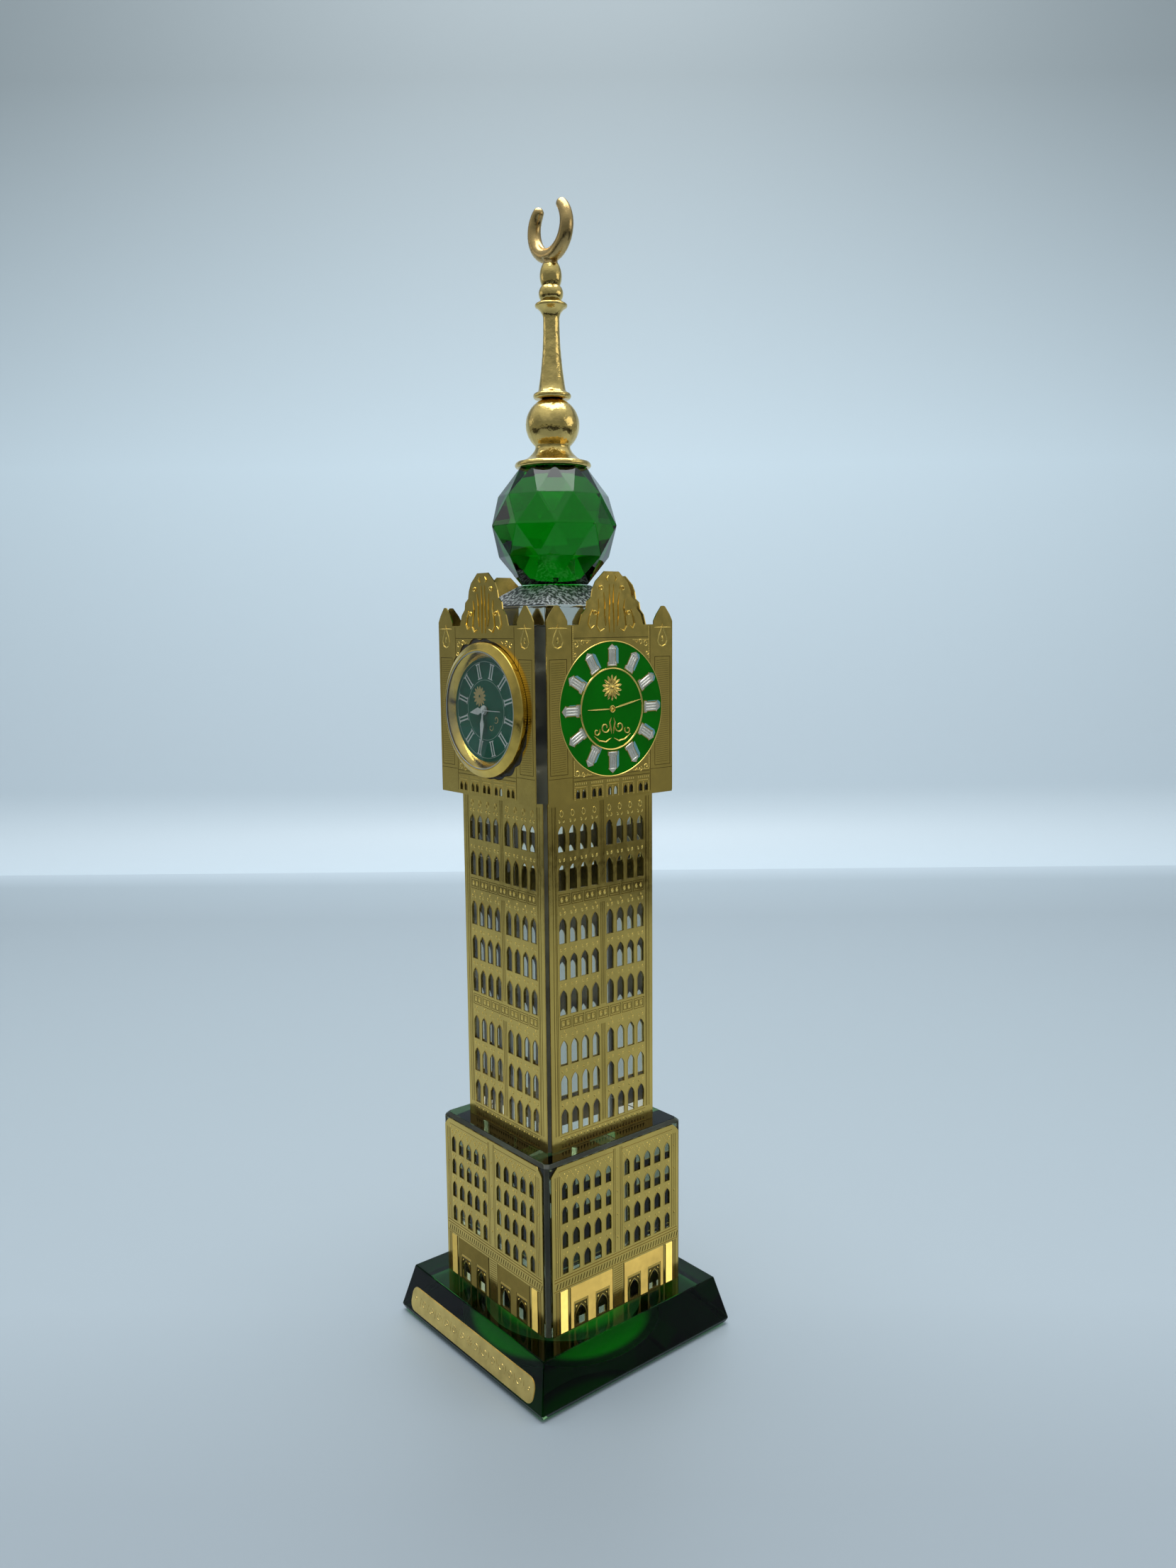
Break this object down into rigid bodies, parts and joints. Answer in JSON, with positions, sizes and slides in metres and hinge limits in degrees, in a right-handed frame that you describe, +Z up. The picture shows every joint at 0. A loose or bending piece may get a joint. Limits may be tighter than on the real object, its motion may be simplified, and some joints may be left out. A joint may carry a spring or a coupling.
{
  "type": "miniature landmark model",
  "caption": "Souvenir clock tower of stacked cut glass and etched brass sheets, with a push-in quartz clock, faceted glass ball and gilt crescent finial.",
  "frame": {"origin": "centre of the underside", "axes": "+Z up the tower; the clock insert faces -Y; +X is the right-hand side seen from the front"},
  "size_m": [0.0672, 0.0672, 0.3056],
  "materials": {
    "green_glass": "polished dark green glass",
    "clear_glass": "polished clear glass",
    "bright_green_glass": "polished bright green glass",
    "lens_glass": "polished flat lens",
    "etched_brass": "satin gold, etched",
    "gold_foil": "brushed foil",
    "gold_plate": "polished gold plate",
    "bronze_gold": "dull gold",
    "train_brass": "satin",
    "green_enamel": "glossy enamel",
    "dial_green": "satin print",
    "silver_hand": "satin",
    "steel": "satin",
    "copper": "varnished copper wire",
    "black_rubber": "matte",
    "foam_pad": "matte pale pad",
    "black_plastic": "fine grain",
    "white_plastic": "fine grain",
    "board_green": "lacquered board"
  },
  "bodies": {
    "tower": {"base_pad": "foam_pad", "base_block": "green_glass", "name_plate": "gold_foil", "podium_block": "clear_glass", "shaft_block": "clear_glass", "head_block": "clear_glass", "neck_block": "clear_glass", "crystal_ball": "bright_green_glass", "finial_base": "gold_plate", "finial_spire": "gold_plate", "crescent": "bronze_gold", "podium_panel_front": "etched_brass", "shaft_panel_front": "etched_brass", "head_panel_front": "etched_brass", "podium_panel_right": "etched_brass", "shaft_panel_right": "etched_brass", "head_panel_right": "etched_brass", "dial_enamel_right": "green_enamel", "podium_panel_back": "etched_brass", "shaft_panel_back": "etched_brass", "head_panel_back": "etched_brass", "dial_enamel_back": "green_enamel", "podium_panel_left": "etched_brass", "shaft_panel_left": "etched_brass", "head_panel_left": "etched_brass", "dial_enamel_left": "green_enamel"},
    "grip": {"grip_gasket": "black_rubber"},
    "clock": {"bezel": "gold_plate", "lens": "lens_glass", "reflector_ring": "gold_plate", "dial_disc": "dial_green", "case_ring": "gold_plate", "back_cover": "black_plastic", "battery_cell": "steel", "movement_holder": "white_plastic", "main_plate": "black_plastic", "gear_bridge": "white_plastic", "bridge_screws": "steel", "circuit_board": "board_green", "quartz_crystal": "steel", "chip_cover": "black_plastic", "stator": "steel", "coil_core": "steel", "drive_coil": "copper"},
    "second_arbor": {"seconds_wheel": "white_plastic", "second_hand": "silver_hand"},
    "third_arbor": {"third_wheel": "white_plastic"},
    "minute_arbor": {"centre_wheel": "train_brass", "minute_hand": "silver_hand"},
    "motion_wheel": {"minute_wheel": "white_plastic"},
    "hour_arbor": {"hour_wheel": "train_brass", "hour_hand": "silver_hand"},
    "step_wheel": {"intermediate_wheel": "white_plastic"},
    "rotor": {"rotor": "white_plastic"},
    "knob": {"setting_knob": "white_plastic"},
    "hatch": {"battery_hatch": "black_plastic"}
  },
  "joints": [
    {"name": "insert_pull", "type": "slide", "parent": "tower", "child": "grip", "axis": [0, -1, 0], "range_m": [0, 0.016]},
    {"name": "insert_turn", "type": "hinge", "parent": "grip", "child": "clock", "pos_m": [0.0008, -0.02295, 0.177], "axis": [0, -1, 0], "continuous": true},
    {"name": "second_hand_turn", "type": "hinge", "parent": "clock", "child": "second_arbor", "pos_m": [0.0008, -0.02295, 0.177], "axis": [0, 1, 0], "continuous": true},
    {"name": "third_wheel_turn", "type": "hinge", "parent": "clock", "child": "third_arbor", "pos_m": [0.00209, -0.02295, 0.17977], "axis": [0, 1, 0], "continuous": true},
    {"name": "minute_hand_turn", "type": "hinge", "parent": "clock", "child": "minute_arbor", "pos_m": [0.0008, -0.02295, 0.177], "axis": [0, 1, 0], "continuous": true},
    {"name": "motion_wheel_turn", "type": "hinge", "parent": "clock", "child": "motion_wheel", "pos_m": [0.00301, -0.02295, 0.17479], "axis": [0, 1, 0], "continuous": true},
    {"name": "hour_hand_turn", "type": "hinge", "parent": "clock", "child": "hour_arbor", "pos_m": [0.0008, -0.02295, 0.177], "axis": [0, 1, 0], "continuous": true},
    {"name": "step_wheel_turn", "type": "hinge", "parent": "clock", "child": "step_wheel", "pos_m": [-0.00218, -0.02295, 0.1762], "axis": [0, 1, 0], "continuous": true},
    {"name": "rotor_turn", "type": "hinge", "parent": "clock", "child": "rotor", "pos_m": [-0.00347, -0.02295, 0.17343], "axis": [0, 1, 0], "continuous": true},
    {"name": "setting_knob_turn", "type": "hinge", "parent": "clock", "child": "knob", "pos_m": [0.00556, -0.02295, 0.17658], "axis": [0, 1, 0], "continuous": true},
    {"name": "battery_hatch_turn", "type": "hinge", "parent": "clock", "child": "hatch", "pos_m": [-0.00365, -0.02295, 0.17594], "axis": [0, 1, 0], "range_deg": [0, 60]}
  ],
  "couplings": [
    {"joint": "third_wheel_turn", "follows": "second_hand_turn", "ratio": -0.13333},
    {"joint": "minute_hand_turn", "follows": "second_hand_turn", "ratio": 0.016667},
    {"joint": "motion_wheel_turn", "follows": "second_hand_turn", "ratio": -0.0055556},
    {"joint": "hour_hand_turn", "follows": "second_hand_turn", "ratio": 0.0013889},
    {"joint": "setting_knob_turn", "follows": "second_hand_turn", "ratio": 0.016667},
    {"joint": "step_wheel_turn", "follows": "second_hand_turn", "ratio": -6},
    {"joint": "rotor_turn", "follows": "second_hand_turn", "ratio": 30}
  ]
}
